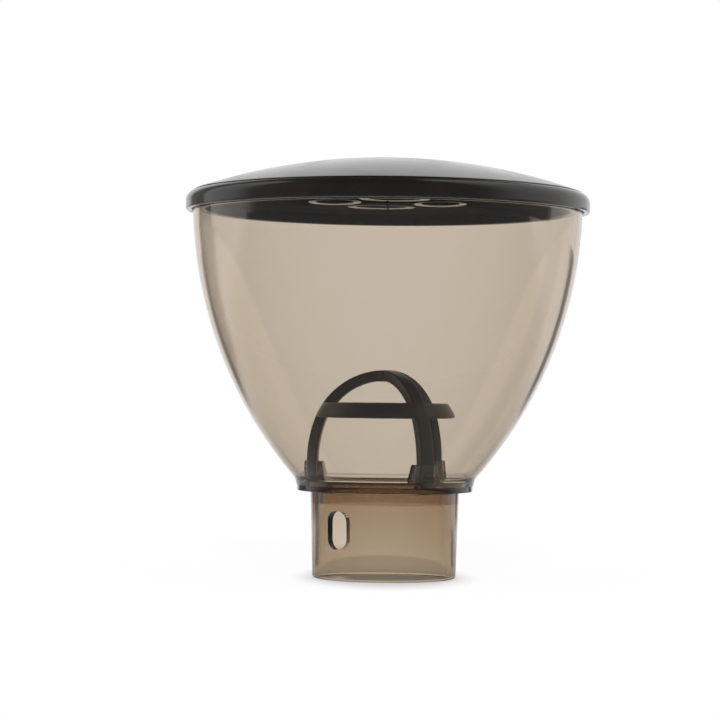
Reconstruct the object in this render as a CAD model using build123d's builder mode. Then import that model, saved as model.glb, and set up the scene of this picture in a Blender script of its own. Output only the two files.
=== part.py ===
from build123d import *
import os
from math import acos, asin, cos, degrees, radians, sin, sqrt

# Bean hopper of a coffee grinder. Millimetres, +Z up, with the origin at the centre of the
# neck's foot. Azimuths are in degrees from the front (-Y), positive towards +X.

# Neck, the tapered plug that goes into the grinder's throat
neck_height = 42.3
neck_foot_r = 34.9
neck_flare = 1.4
neck_wall = 2.7
neck_foot_round = 1.2
neck_bore_round = 0.4
neck_root_round = 0.7

# Obround slot in the neck, where the grinder's locking screw reaches in
slot_width = 11.8
slot_height = 18.5
slot_corner_r = 5.4
slot_z = 24.2
slot_azimuth = -40.5
cut_margin = 3.0

# Thick throat ring under the floor, and the flange that the bowl stands on
throat_ledge = 1.9
throat_length = 8.6
flange_thickness = 2.7
flange_step = 0.3
flange_round = 0.4
floor_thickness = 3.0
floor_lip = 1.8
floor_bore_round = 0.8

# Bowl, one arc that is upright at the rim and runs down to a short collar
bowl_rim_r = 95.1
bowl_overhang = 7.7
bowl_height = 139.0
bowl_wall = 3.2
bowl_rim_round = 0.9
collar_height = 3.4
collar_wall = 4.0
collar_taper = 0.8
collar_round = 1.6
bond_gap = 0.1

# Lid, with a skirt outside the bowl's rim and a locating ring inside it
lid_wall = 3.1
lid_skirt_depth = 5.8
lid_crown_height = 20.0
lid_dome_rise = 16.2
lid_dome_wall = 2.6
lid_shoulder_r = 5.0
lid_shoulder_angle = 75.0
lid_step = 0.45
lid_lip_round = 0.9
skirt_clearance = 0.4
ring_clearance = 0.5
ring_depth = 6.0
ring_wall = 2.2
ring_round = 0.6

# Lid liner, a flat plate with four oval dished pads round a moulding gate
liner_lift = 1.3
liner_thickness = 1.8
liner_ledge = 1.2
liner_gap = 0.1
pad_count = 4
pad_pitch_r = 26.0
pad_radial = 26.0
pad_tangential = 34.0
pad_height = 0.8
pad_rim = 1.0
pad_dish_depth = 0.8
pad_dish_half_height = 4.0
pad_turn = 6.5
gate_r = 1.6
gate_height = 0.7

# Finger guard, three arms that meet in a hub, with a conical hoop round them
guard_azimuths = (-96.7, 31.0, 135.6)
guard_height = 53.4
guard_clearance = 1.6
guard_splay = 1.4
guard_blend_reach = 22.2
arm_thickness = 5.2
arm_width = 7.0
arm_round = 0.9
hub_r = 5.0
hoop_drop = 16.0
hoop_height = 7.0
hoop_thickness = 4.0
hoop_round = 0.8
leg_depth = 2.3
nib_r = 0.9
nib_length = 4.0
nib_proud = 1.2
nib_z = 4.2

# Sockets that hold the guard's legs
socket_height = 8.8
socket_top_width = 9.2
socket_foot_width = 12.4
socket_inner_wall_top = 2.5
socket_inner_wall_foot = 4.1
socket_outer_wall = 0.9
socket_clearance = 0.1
window_clearance = 0.4

# Radii that follow from these
neck_top_r = neck_foot_r + neck_flare
neck_bore_r = neck_foot_r - neck_wall
throat_r = neck_bore_r - throat_ledge
floor_bore_r = throat_r - floor_lip
bowl_foot_r = neck_top_r + bowl_overhang
collar_bore_r = bowl_foot_r - collar_wall
guard_leg_r = collar_bore_r - guard_clearance
guard_arch_r = guard_leg_r - guard_splay
guard_blend_r = guard_leg_r + guard_blend_reach

# Levels that follow from them
throat_bottom_z = neck_height + flange_thickness - throat_length
bowl_foot_z = neck_height + flange_thickness
floor_z = bowl_foot_z + floor_thickness
collar_top_z = bowl_foot_z + collar_height
bowl_rim_z = bowl_foot_z + bowl_height
leg_foot_z = floor_z - leg_depth
guard_top_z = floor_z + guard_height
hoop_top_z = guard_top_z - hoop_drop

# The bowl's arc is upright at the rim and passes through the collar's top corner
bowl_inset = bowl_rim_r - bowl_foot_r
bowl_drop = bowl_rim_z - collar_top_z
bowl_arc_r = (bowl_inset**2 + bowl_drop**2) / (2 * bowl_inset)
bowl_arc_centre = (bowl_rim_r - bowl_arc_r, bowl_rim_z)
bowl_inner_arc_r = bowl_arc_r - bowl_wall


def upright_plane(azimuth, origin=(0, 0, 0)):
    """A plane whose x points outwards at the azimuth and whose y points up."""
    turn = radians(azimuth)
    return Plane(origin=origin, x_dir=(sin(turn), -cos(turn), 0), z_dir=(-cos(turn), -sin(turn), 0))


def level_plane(azimuth, height):
    """A level plane whose x points outwards at the azimuth."""
    turn = radians(azimuth)
    return Plane(origin=(0, 0, height), x_dir=(sin(turn), -cos(turn), 0), z_dir=(0, 0, 1))


def facing_plane(azimuth, height):
    """A plane through the axis that faces outwards at the azimuth, with y up."""
    turn = radians(azimuth)
    return Plane(origin=(0, 0, height), x_dir=(cos(turn), sin(turn), 0), z_dir=(sin(turn), -cos(turn), 0))


# Bowl
inner_foot_angle = degrees(acos((collar_bore_r - bowl_arc_centre[0]) / bowl_inner_arc_r))
outer_foot_angle = degrees(asin(bowl_drop / bowl_arc_r))

with BuildPart() as bowl:
    with BuildSketch(Plane.XZ) as bowl_section:
        with BuildLine():
            outside = CenterArc(bowl_arc_centre, bowl_arc_r, -outer_foot_angle, outer_foot_angle)
            inside = CenterArc(bowl_arc_centre, bowl_inner_arc_r, -inner_foot_angle, inner_foot_angle)
            collar_side = Line(outside @ 0, (bowl_foot_r - collar_taper, bowl_foot_z))
            collar_foot = Line(collar_side @ 1, (collar_bore_r, bowl_foot_z))
            Line(collar_foot @ 1, inside @ 0)
            Line(inside @ 1, outside @ 1)
        make_face()
        fillet(bowl_section.vertices().sort_by_distance(outside @ 0)[0], collar_round)
        fillet(bowl_section.vertices().group_by(Axis.Y)[-1], bowl_rim_round)
    revolve(axis=Axis.Z)
bowl.part.label = "bowl"

# Neck base: neck, throat ring, flange and floor in one turned section
floor_r = collar_bore_r - bond_gap
flange_r = bowl_foot_r - collar_taper - flange_step

pocket_inner_r = guard_leg_r - arm_thickness - socket_clearance
pocket_outer_r = guard_leg_r + socket_clearance
pocket_width = arm_width + 2 * socket_clearance
socket_outer_r = pocket_outer_r + socket_outer_wall

with BuildPart() as neck_base:
    with BuildSketch(Plane.XZ) as neck_section:
        with BuildLine():
            Polyline(
                (neck_bore_r, 0),
                (neck_foot_r, 0),
                (neck_top_r, neck_height),
                (flange_r, neck_height),
                (flange_r, bowl_foot_z),
                (floor_r, bowl_foot_z),
                (floor_r, floor_z),
                (floor_bore_r, floor_z),
                (floor_bore_r, bowl_foot_z),
                (throat_r, bowl_foot_z),
                (throat_r, throat_bottom_z),
                (neck_bore_r, throat_bottom_z),
                close=True,
            )
        make_face()
        corners = neck_section.vertices()
        fillet(corners.sort_by_distance((neck_foot_r, 0))[0], neck_foot_round)
        fillet(corners.sort_by_distance((neck_bore_r, 0))[0], neck_bore_round)
        fillet(corners.sort_by_distance((neck_top_r, neck_height))[0], neck_root_round)
        fillet(corners.sort_by_distance((flange_r, neck_height))[0], flange_round)
        fillet(corners.sort_by_distance((floor_bore_r, floor_z))[0], floor_bore_round)
    revolve(axis=Axis.Z)

    # Sockets, wider at the foot than at the top
    for azimuth in guard_azimuths:
        with BuildSketch(level_plane(azimuth, floor_z)):
            foot_inner_r = pocket_inner_r - socket_inner_wall_foot
            with Locations(((foot_inner_r + socket_outer_r) / 2, 0)):
                Rectangle(socket_outer_r - foot_inner_r, socket_foot_width)
        with BuildSketch(level_plane(azimuth, floor_z + socket_height)):
            top_inner_r = pocket_inner_r - socket_inner_wall_top
            with Locations(((top_inner_r + socket_outer_r) / 2, 0)):
                Rectangle(socket_outer_r - top_inner_r, socket_top_width)
        loft()

    # Pockets for the legs, each with a window for the leg's snap nib
    for azimuth in guard_azimuths:
        with BuildSketch(level_plane(azimuth, leg_foot_z)):
            with Locations(((pocket_inner_r + pocket_outer_r) / 2, 0)):
                Rectangle(pocket_outer_r - pocket_inner_r, pocket_width)
        extrude(amount=leg_depth + socket_height, mode=Mode.SUBTRACT)
        with BuildSketch(facing_plane(azimuth, floor_z + nib_z).offset(guard_leg_r)):
            Rectangle(nib_length + 2 * window_clearance, 2 * (nib_r + window_clearance))
        extrude(amount=socket_outer_r - guard_leg_r + cut_margin, mode=Mode.SUBTRACT)

    # Slot through the front left of the neck
    with BuildSketch(facing_plane(slot_azimuth, slot_z)):
        RectangleRounded(slot_width, slot_height, slot_corner_r)
    extrude(amount=neck_top_r + cut_margin, mode=Mode.SUBTRACT)
neck_base.part.label = "neck_base"

# Lid: dome, shoulder, skirt and locating ring
lid_bore_r = bowl_rim_r + skirt_clearance
lid_r = lid_bore_r + lid_wall
skirt_bottom_z = bowl_rim_z - lid_skirt_depth
crown_z = bowl_rim_z + lid_crown_height
ring_r = bowl_rim_r - bowl_wall - ring_clearance
ring_bore_r = ring_r - ring_wall
ring_bottom_z = bowl_rim_z - ring_depth
ledge_r = ring_bore_r - liner_ledge
liner_top_z = bowl_rim_z + liner_lift

# The dome's radius comes from its edge and its rise
dome_edge_r = lid_r - lid_shoulder_r * (1 - cos(radians(lid_shoulder_angle)))
dome_edge_z = crown_z - lid_dome_rise
lid_dome_r = (dome_edge_r**2 + lid_dome_rise**2) / (2 * lid_dome_rise)
dome_centre = (0, crown_z - lid_dome_r)
dome_inner_r = lid_dome_r - lid_dome_wall
shoulder_z = dome_edge_z - lid_step - lid_shoulder_r * sin(radians(lid_shoulder_angle))
dome_edge_angle = degrees(acos(dome_edge_r / lid_dome_r))
dome_ledge_angle = degrees(acos(ledge_r / dome_inner_r))

with BuildPart() as lid:
    with BuildSketch(Plane.XZ) as lid_section:
        with BuildLine():
            dome = CenterArc(dome_centre, lid_dome_r, dome_edge_angle, 90 - dome_edge_angle)
            shoulder_centre = (lid_r - lid_shoulder_r, shoulder_z)
            shoulder = CenterArc(shoulder_centre, lid_shoulder_r, 0, lid_shoulder_angle)
            under_dome = CenterArc(dome_centre, dome_inner_r, dome_ledge_angle, 90 - dome_ledge_angle)
            Line(dome @ 0, shoulder @ 1)
            Polyline(
                shoulder @ 0,
                (lid_r, skirt_bottom_z),
                (lid_bore_r, skirt_bottom_z),
                (lid_bore_r, bowl_rim_z),
                (ring_r, bowl_rim_z),
                (ring_r, ring_bottom_z),
                (ring_bore_r, ring_bottom_z),
                (ring_bore_r, liner_top_z),
                (ledge_r, liner_top_z),
                under_dome @ 0,
            )
            Line(under_dome @ 1, dome @ 1)
        make_face()
        corners = lid_section.vertices()
        fillet(corners.sort_by_distance((lid_r, skirt_bottom_z))[0], lid_lip_round)
        fillet(corners.sort_by_distance((lid_bore_r, skirt_bottom_z))[0], lid_lip_round)
        fillet(corners.sort_by_distance((ring_r, ring_bottom_z))[0], ring_round)
        fillet(corners.sort_by_distance((ring_bore_r, ring_bottom_z))[0], ring_round)
    revolve(axis=Axis.Z)
lid.part.label = "lid"

# Lid liner: plate, oval pads, their shallow dishes and the gate mark
liner_bottom_z = liner_top_z - liner_thickness
pad_face_z = liner_bottom_z - pad_height
dish_share = sqrt(1 - (1 - pad_dish_depth / pad_dish_half_height) ** 2)
dish_radial = (pad_radial / 2 - pad_rim) / dish_share
dish_tangential = (pad_tangential / 2 - pad_rim) / dish_share

with BuildPart() as lid_liner:
    with BuildSketch(Plane.XY.offset(liner_bottom_z)):
        Circle(ring_bore_r - liner_gap)
    extrude(amount=liner_thickness)
    with BuildSketch(Plane.XY.offset(pad_face_z)):
        with PolarLocations(pad_pitch_r, pad_count, start_angle=pad_turn):
            Ellipse(pad_radial / 2, pad_tangential / 2)
    extrude(amount=pad_height)
    unit_ball = Sphere(pad_dish_half_height, mode=Mode.PRIVATE)
    stretch = (dish_radial / pad_dish_half_height, dish_tangential / pad_dish_half_height, 1)
    dish = scale(unit_ball, by=stretch, mode=Mode.PRIVATE)
    dish_z = pad_face_z - pad_dish_half_height + pad_dish_depth
    for pad in PolarLocations(pad_pitch_r, pad_count, start_angle=pad_turn):
        add(Pos(0, 0, dish_z) * pad * dish, mode=Mode.SUBTRACT)
    with BuildSketch(Plane.XY.offset(liner_bottom_z - gate_height)):
        Circle(gate_r)
    extrude(amount=gate_height)
lid_liner.part.label = "lid_liner"

# Finger guard: each arm runs up a leg, round a blend and over the arch to the axis
arch_centre = (0, guard_top_z - guard_arch_r)
blend_angle = degrees(acos((guard_blend_r - guard_leg_r) / (guard_blend_r - guard_arch_r)))
blend_z = arch_centre[1] - (guard_blend_r - guard_arch_r) * sin(radians(blend_angle))
blend_centre = (guard_leg_r - guard_blend_r, blend_z)
arch_mid_r = guard_arch_r - arm_thickness / 2
blend_mid_r = guard_blend_r - arm_thickness / 2
leg_mid_r = guard_leg_r - arm_thickness / 2
hoop_bottom_z = hoop_top_z - hoop_height


def arch_r_at(radius, height):
    """The horizontal radius of the arch's circle at a height."""
    return sqrt(radius**2 - (height - arch_centre[1]) ** 2)


def arch_angle_at(radius, height):
    """The angle up the arch's circle at a height."""
    return degrees(asin((height - arch_centre[1]) / radius))


with BuildPart() as finger_guard:
    for azimuth in guard_azimuths:
        with BuildLine(upright_plane(azimuth)) as arm_path:
            Line((leg_mid_r, leg_foot_z), (leg_mid_r, blend_z))
            CenterArc(blend_centre, blend_mid_r, 0, blend_angle)
            CenterArc(arch_centre, arch_mid_r, blend_angle, 90 - blend_angle)
        with BuildSketch(level_plane(azimuth, leg_foot_z)):
            with Locations((leg_mid_r, 0)):
                RectangleRounded(arm_thickness, arm_width, arm_round)
        sweep(path=arm_path.wire())

        # Snap nib on the leg's outer face
        with BuildSketch(level_plane(azimuth, floor_z + nib_z - nib_r)):
            with Locations((guard_leg_r + nib_proud / 2 - nib_r / 2, 0)):
                Rectangle(nib_proud + nib_r, nib_length)
        extrude(amount=2 * nib_r)

    # Hub where the arms meet
    hub_angle = degrees(acos(hub_r / guard_arch_r))
    hub_under_angle = degrees(acos(hub_r / (guard_arch_r - arm_thickness)))
    with BuildSketch(Plane.XZ):
        with BuildLine():
            hub_top = CenterArc(arch_centre, guard_arch_r, hub_angle, 90 - hub_angle)
            hub_under_r = guard_arch_r - arm_thickness
            hub_under = CenterArc(arch_centre, hub_under_r, hub_under_angle, 90 - hub_under_angle)
            Line(hub_top @ 0, hub_under @ 0)
            Line(hub_top @ 1, hub_under @ 1)
        make_face()
    revolve(axis=Axis.Z)

    # Conical hoop, flush with the outside of the arms
    with BuildSketch(Plane.XZ) as hoop_section:
        with BuildLine():
            low_angle = arch_angle_at(guard_arch_r, hoop_bottom_z)
            high_angle = arch_angle_at(guard_arch_r, hoop_top_z)
            hoop_outside = CenterArc(arch_centre, guard_arch_r, low_angle, high_angle - low_angle)
            hoop_inner_r = guard_arch_r - hoop_thickness
            low_inner = (arch_r_at(hoop_inner_r, hoop_bottom_z), hoop_bottom_z)
            high_inner = (arch_r_at(hoop_inner_r, hoop_top_z), hoop_top_z)
            Polyline(hoop_outside @ 0, low_inner, high_inner, hoop_outside @ 1)
        make_face()
        fillet(hoop_section.vertices(), hoop_round)
    revolve(axis=Axis.Z)
finger_guard.part.label = "finger_guard"

os.makedirs("parts", exist_ok=True)
for piece in (lid, lid_liner, bowl, neck_base, finger_guard):
    export_step(piece.part, f"parts/{piece.part.label}.step")
    print(piece.part.label, round(piece.part.volume / 1000, 1), "cm3", piece.part.bounding_box())
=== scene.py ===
from math import acos, asin, cos, degrees, pi, radians, sin, sqrt, tan

import bmesh
import bpy
from bpy.props import FloatProperty, FloatVectorProperty, IntProperty, PointerProperty
from mathutils import Matrix, Vector


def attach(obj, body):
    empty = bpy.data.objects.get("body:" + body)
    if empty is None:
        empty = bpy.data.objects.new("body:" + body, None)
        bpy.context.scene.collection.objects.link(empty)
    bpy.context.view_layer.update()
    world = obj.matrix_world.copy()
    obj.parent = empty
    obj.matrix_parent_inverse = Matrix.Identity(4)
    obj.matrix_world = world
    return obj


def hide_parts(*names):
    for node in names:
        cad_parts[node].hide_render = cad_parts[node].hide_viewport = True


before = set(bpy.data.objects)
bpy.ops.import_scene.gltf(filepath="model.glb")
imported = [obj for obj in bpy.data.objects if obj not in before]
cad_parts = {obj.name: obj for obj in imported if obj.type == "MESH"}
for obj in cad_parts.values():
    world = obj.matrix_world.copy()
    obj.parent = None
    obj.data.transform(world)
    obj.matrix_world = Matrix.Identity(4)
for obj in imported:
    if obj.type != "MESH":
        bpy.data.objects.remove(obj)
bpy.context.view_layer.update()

bl_info = {
    "name": "Coffee grinder bean hopper",
    "version": (1, 0, 0),
    "blender": (4, 5, 0),
    "location": "3D View > Sidebar > Hopper",
    "description": "Builds a smoked bean hopper with its lid, neck base and finger guard",
    "category": "Object",
}

MM = 0.001
WHITE = (1.0, 1.0, 1.0, 1.0)

# Points of a loft, and of a turned body's seam, that are closer than this are one point
SAME_POINT = 1e-7
SAME_SEAM_POINT = 1e-6
# Edges sharper than this many degrees stay sharp
CREASE = 32.0
# How far the bowl's foot stays above the flange, and how far a cutter reaches past what it cuts
JOINT_LIFT = 0.04 * MM
CUT_MARGIN = 3.0 * MM
# How far pads and gate sink into the liner that carries them
SINK = 0.05 * MM
# The share of a dish's size at which its polished edge begins
POLISHED_FROM = 0.75

# Each lamp's name, the direction that it stands in, its width in degrees and the setting of its strength
LAMPS = (
    ("Key lamp", (0.0, -1.25, 1.0), 8, "key"),
    ("Top lamp", (0.0, 0.0, 1.0), 24, "top"),
    ("Left lamp", (-0.75, -0.3, 0.6), 50, "side"),
    ("Right lamp", (0.8, -0.4, 0.6), 50, "side"),
)
# White walls that mirrored rays see: the azimuths from the back, in degrees, at which each one starts, is
# full, fades and ends, then the rises at which it starts and ends
WHITE_WALLS = (
    (-33, -29, 29, 33, -30, 40),
    (-103, -84, -54, -51, -9, 60),
    (29, 32, 69, 72, -18, 80),
    (69, 71, 92, 140, 1, 80),
)
WALL_SOFTNESS = 3
# How bright mirrored rays see what is between the walls, and the share of it that is left overhead
BETWEEN_WALLS = 0.3
OVERHEAD_SHARE = 0.15
# The azimuths and rises, in degrees, between which the studio dims
DIMMING_AZIMUTHS = (85, 165)
DIMMING_RISES = (25, 55)
# Darker parts of the far floor that mirrored rays see: their azimuths as for a wall, the distances in metres
# between which they come in, and how much darker they are
FLOOR_GAPS = ((-60, -52, -33, -26), (27, 30, 39, 42))
GAP_DISTANCES = (0.3, 0.5)
GAP_DEPTH = 0.75
# Places on the Y axis, in metres, between which mirrored rays see the floor turn white
FLOOR_BRIGHTENS = (-0.1, 0.4)
# The floor's shadow: its squeeze, the distances in metres between which it fades, the share of plain white
# that straight rays see beyond them, and the share that rays through clear plastic see everywhere
SHADOW_SQUEEZE = (1.8, 1.0, 1.0)
SHADOW_FADES = (0.044, 0.088)
OPEN_FLOOR = 0.96
WHITE_THROUGH_CLEAR = 0.15
FLOOR_RADIUS = 30.0
FLOOR_CORNERS = 96
# The camera's sensor in millimetres, and how far it sees in metres
SENSOR_WIDTH = 36.0
CLIP_END = 100.0

# Steps of the full turn of each turned body and of the arcs in their sections, and the lid's finest angle
TURN_STEPS = {
    "bowl_shell": 216, "lid_cover": 216, "neck_and_floor": 180, "lid_liner_plate": 144, "hoop": 144,
    "hub": 48, "gate": 32,
}
ARC_STEPS = {"bowl": 96, "shoulder": 12, "dome": 48, "under": 44, "hub": 8, "hoop": 6}
LID_FINEST = 9.0
# Steps of a dish from its rim to its middle, corners of a pad, and the dish's half height in dish depths
DISH_STEPS = 14
PAD_CORNERS = 72
DISH_BULGE = 5
SLOT_CORNER_STEPS = 14
# Steps of an arm's leg, blend and arch, and the turn in degrees at which the arch ends, just past the axis
LEG_STEPS = 8
BLEND_STEPS = 12
ARCH_STEPS = 40
ARCH_END = 91
# How much of an arm's section its foot has, and the height over which it reaches the whole of it
FOOT_SHARE = 0.9
FOOT_TAPER = 0.3 * MM
# The guard's edges sharper than this many degrees stay sharp
GUARD_CREASE = 38.0


# Sizes and colours


def length(name, text, millimetres):
    """A length that a user may change, given here in millimetres."""
    return FloatProperty(name=name, description=text, default=millimetres * MM, unit="LENGTH", precision=5)


def angle(name, text, turn):
    """An angle that a user may change, given here in degrees."""
    return FloatProperty(name=name, description=text, default=radians(turn), unit="ROTATION")


def share(name, text, value):
    """A plain number between nought and a few."""
    return FloatProperty(name=name, description=text, default=value, min=0.0, soft_max=4.0)


def colour(name, text, value):
    """A linear colour."""
    kind = {"size": 3, "subtype": "COLOR", "min": 0.0, "max": 1.0}
    return FloatVectorProperty(name=name, description=text, default=value, **kind)


class NeckSizes(bpy.types.PropertyGroup):
    """Sizes of the neck, its flange and its floor."""

    height: length("Neck height", "Height of the plug below the flange", 42.3)
    foot_r: length("Foot radius", "Outer radius at the foot", 34.9)
    flare: length("Flare", "How much wider the neck is under the flange", 1.4)
    wall: length("Wall", "Wall thickness at the foot", 2.7)
    foot_round: length("Foot rounding", "Rounding of the outer foot edge", 1.2)
    bore_round: length("Bore rounding", "Rounding of the inner foot edge", 0.4)
    root_round: length("Root rounding", "Rounding between neck and flange", 0.7)
    flange_round: length("Flange rounding", "Rounding of the flange's lower edge", 0.4)
    floor_round: length("Floor rounding", "Rounding of the floor's inner edge", 0.8)
    throat_ledge: length("Throat ledge", "How far the throat ring stands in from the neck's bore", 1.9)
    throat_length: length("Throat length", "Height of the throat ring", 8.6)
    flange: length("Flange thickness", "Thickness of the flange under the bowl", 2.7)
    flange_step: length("Flange step", "How far the flange stays behind the bowl's foot", 0.3)
    floor: length("Floor thickness", "Height of the floor above the flange", 3.0)
    floor_lip: length("Floor lip", "How far the floor stands in from the throat ring", 1.8)
    slot_width: length("Slot width", "Width of the locking slot", 11.8)
    slot_height: length("Slot height", "Height of the locking slot", 18.5)
    slot_round: length("Slot rounding", "Corner radius of the locking slot", 5.4)
    slot_z: length("Slot level", "Height of the slot's middle", 24.2)
    slot_azimuth: angle("Slot azimuth", "Turn of the slot from the front", -40.5)


class BowlSizes(bpy.types.PropertyGroup):
    """Sizes of the smoked bowl."""

    rim_r: length("Rim radius", "Outer radius at the rim", 95.1)
    height: length("Height", "Height of the bowl above its foot", 139.0)
    overhang: length("Overhang", "How far the bowl's foot stands out from the neck", 7.7)
    wall: length("Wall", "Wall thickness", 3.2)
    rim_round: length("Rim rounding", "Rounding of the rim's edges", 0.9)
    collar_height: length("Collar height", "Height of the upright collar", 3.4)
    collar_wall: length("Collar wall", "Thickness of the collar", 4.0)
    collar_taper: length("Collar taper", "How much narrower the collar is at its foot", 0.8)
    collar_round: length("Collar rounding", "Rounding between collar and bowl", 1.6)
    joint_gap: length("Joint gap", "Gap that the bonded joint leaves", 0.1)


class LidSizes(bpy.types.PropertyGroup):
    """Sizes of the lid and its liner."""

    wall: length("Skirt wall", "Thickness of the skirt", 3.1)
    skirt_depth: length("Skirt depth", "How far the skirt hangs below the bowl's rim", 5.8)
    crown_height: length("Crown height", "Height of the crown above the bowl's rim", 20.0)
    dome_rise: length("Dome rise", "Rise of the dome from its edge to the crown", 16.2)
    dome_wall: length("Dome wall", "Thickness of the dome", 2.6)
    shoulder_r: length("Shoulder radius", "Radius between skirt and dome", 5.0)
    shoulder_angle: angle("Shoulder angle", "How far the shoulder turns in", 75.0)
    step: length("Step", "Small step between shoulder and dome", 0.45)
    lip_round: length("Lip rounding", "Rounding of the skirt's lower edges", 0.9)
    skirt_gap: length("Skirt gap", "Gap between skirt and bowl", 0.4)
    ring_gap: length("Ring gap", "Gap between locating ring and bowl", 0.5)
    ring_depth: length("Ring depth", "Depth of the locating ring", 6.0)
    ring_wall: length("Ring wall", "Thickness of the locating ring", 2.2)
    ring_round: length("Ring rounding", "Rounding of the ring's lower edges", 0.6)
    liner_lift: length("Liner lift", "Height of the liner's top above the rim", 1.3)
    liner_thickness: length("Liner thickness", "Thickness of the liner", 1.8)
    liner_ledge: length("Liner ledge", "Width of the ledge that carries the liner", 1.2)
    liner_gap: length("Liner gap", "Gap round the liner", 0.1)
    pad_count: IntProperty(name="Pads", description="Number of dished pads under the liner", default=4, min=1)
    pad_pitch_r: length("Pad pitch radius", "Distance of each pad from the axis", 26.0)
    pad_radial: length("Pad length", "Size of a pad outwards", 26.0)
    pad_tangential: length("Pad width", "Size of a pad across", 34.0)
    pad_height: length("Pad height", "How far a pad stands below the liner", 0.8)
    pad_rim: length("Pad rim", "Width of the flat rim round a dish", 1.0)
    dish_depth: length("Dish depth", "Depth of each dish", 0.8)
    pad_turn: angle("Pad turn", "Turn of the pads round the axis", 6.5)
    gate_r: length("Gate radius", "Radius of the moulding gate", 1.6)
    gate_height: length("Gate height", "Height of the moulding gate", 0.7)


class GuardSizes(bpy.types.PropertyGroup):
    """Sizes of the finger guard and its sockets."""

    azimuth_a: angle("First arm", "Turn of the first arm from the front", -96.7)
    azimuth_b: angle("Second arm", "Turn of the second arm from the front", 31.0)
    azimuth_c: angle("Third arm", "Turn of the third arm from the front", 135.6)
    height: length("Height", "Height of the guard above the floor", 53.4)
    clearance: length("Clearance", "Gap between a leg and the bowl's collar", 1.6)
    splay: length("Splay", "How far the legs stand out from the arch", 1.4)
    blend_reach: length("Blend reach", "How much larger the blend radius is than the leg radius", 22.2)
    thickness: length("Arm thickness", "Thickness of an arm", 5.2)
    width: length("Arm width", "Width of an arm", 7.0)
    arm_round: length("Arm rounding", "Rounding of an arm's edges", 0.9)
    hub_r: length("Hub radius", "Radius of the hub where the arms meet", 5.0)
    hoop_drop: length("Hoop drop", "How far the hoop's top is below the guard's top", 16.0)
    hoop_height: length("Hoop height", "Height of the hoop", 7.0)
    hoop_thickness: length("Hoop thickness", "Thickness of the hoop", 4.0)
    hoop_round: length("Hoop rounding", "Rounding of the hoop's edges", 0.8)
    leg_depth: length("Leg depth", "How far a leg reaches below the floor's top", 2.3)
    nib_r: length("Nib radius", "Half the height of a snap nib", 0.9)
    nib_length: length("Nib length", "Width of a snap nib", 4.0)
    nib_proud: length("Nib height", "How far a snap nib stands out", 1.2)
    nib_z: length("Nib level", "Height of a snap nib above the floor", 4.2)
    socket_height: length("Socket height", "Height of a socket above the floor", 8.8)
    socket_top: length("Socket top width", "Width of a socket at its top", 9.2)
    socket_foot: length("Socket foot width", "Width of a socket at its foot", 12.4)
    inner_top: length("Inner wall, top", "Socket wall towards the axis at its top", 2.5)
    inner_foot: length("Inner wall, foot", "Socket wall towards the axis at its foot", 4.1)
    outer_wall: length("Outer wall", "Socket wall away from the axis", 0.9)
    socket_gap: length("Socket gap", "Gap between leg and socket", 0.1)
    window_gap: length("Window gap", "Gap round a snap nib", 0.4)


class FinishColours(bpy.types.PropertyGroup):
    """Colours and strengths of the finishes."""

    lid: colour("Lid", "Black moulded plastic of the lid", (0.0085, 0.0068, 0.006))
    liner: colour("Liner", "Black moulded plastic of the liner", (0.011, 0.0092, 0.0078))
    guard: colour("Guard", "Black moulded plastic of the guard", (0.028, 0.023, 0.0165))
    bowl_tint: colour("Bowl tint", "What the bowl's plastic lets through, by depth", (0.48, 0.30, 0.06))
    bowl_depth: share("Bowl absorption", "Absorption of the bowl's plastic, per metre", 140.0)
    neck_tint: colour("Neck tint", "What the neck's plastic lets through, by depth", (0.465, 0.285, 0.03))
    neck_depth: share("Neck absorption", "Absorption of the neck's plastic, per metre", 244.0)


class StudioSettings(bpy.types.PropertyGroup):
    """Camera, lamps and floor."""

    lens: FloatProperty(name="Lens", description="Focal length in millimetres", default=120.7)
    distance: length("Distance", "Distance of the camera from the axis", 1180.0)
    camera_x: length("Camera offset", "Sideways place of the camera", -12.77)
    camera_z: length("Camera height", "Height of the camera above the floor", 91.0)
    pitch: angle("Pitch", "Upward tilt of the camera", 0.727)
    roll: angle("Roll", "Turn of the camera round its view", 0.62)
    world: share("World light", "Strength of the world's light on the object", 0.6)
    key: share("Key lamp", "Strength of the lamp above and in front of the object", 1.7)
    top: share("Top lamp", "Strength of the lamp straight over the object", 0.45)
    side: share("Side lamps", "Strength of each lamp beside the object", 0.35)
    floor: colour("Floor", "Colour of the pale floor", (0.82, 0.82, 0.82))
    front: share("Front floor", "How bright mirrored rays see the floor in front of the object", 0.3)
    dim: share("Dim side", "How bright mirrored rays see the studio behind the camera", 0.1)


# Sections and solids


def arc(centre, radius, start, end, steps):
    """Points of a section along an arc; angles in degrees from outwards."""
    turns = [radians(start + (end - start) * i / steps) for i in range(steps + 1)]
    return [(centre[0] + radius * cos(a), centre[1] + radius * sin(a)) for a in turns]


def rounded(corners, finest=12.0):
    """A closed section from corners (x, y) or (x, y, radius), its arcs in steps of about the finest angle."""
    out = []
    count = len(corners)
    for i, corner in enumerate(corners):
        here = Vector(corner[:2])
        if len(corner) < 3 or not corner[2]:
            out.append(tuple(here))
            continue
        before = Vector(corners[i - 1][:2]) - here
        after = Vector(corners[(i + 1) % count][:2]) - here
        before.normalize()
        after.normalize()
        half = before.angle(after) / 2
        reach = corner[2] / tan(half)
        centre = here + (before + after).normalized() * (corner[2] / sin(half))
        first = here + before * reach - centre
        last = here + after * reach - centre
        sweep = first.angle_signed(last)
        steps = max(2, round(degrees(abs(sweep)) / finest))
        for k in range(steps + 1):
            turn = -sweep * k / steps
            out.append(tuple(centre + Matrix.Rotation(turn, 2) @ first))
    return out


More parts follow.
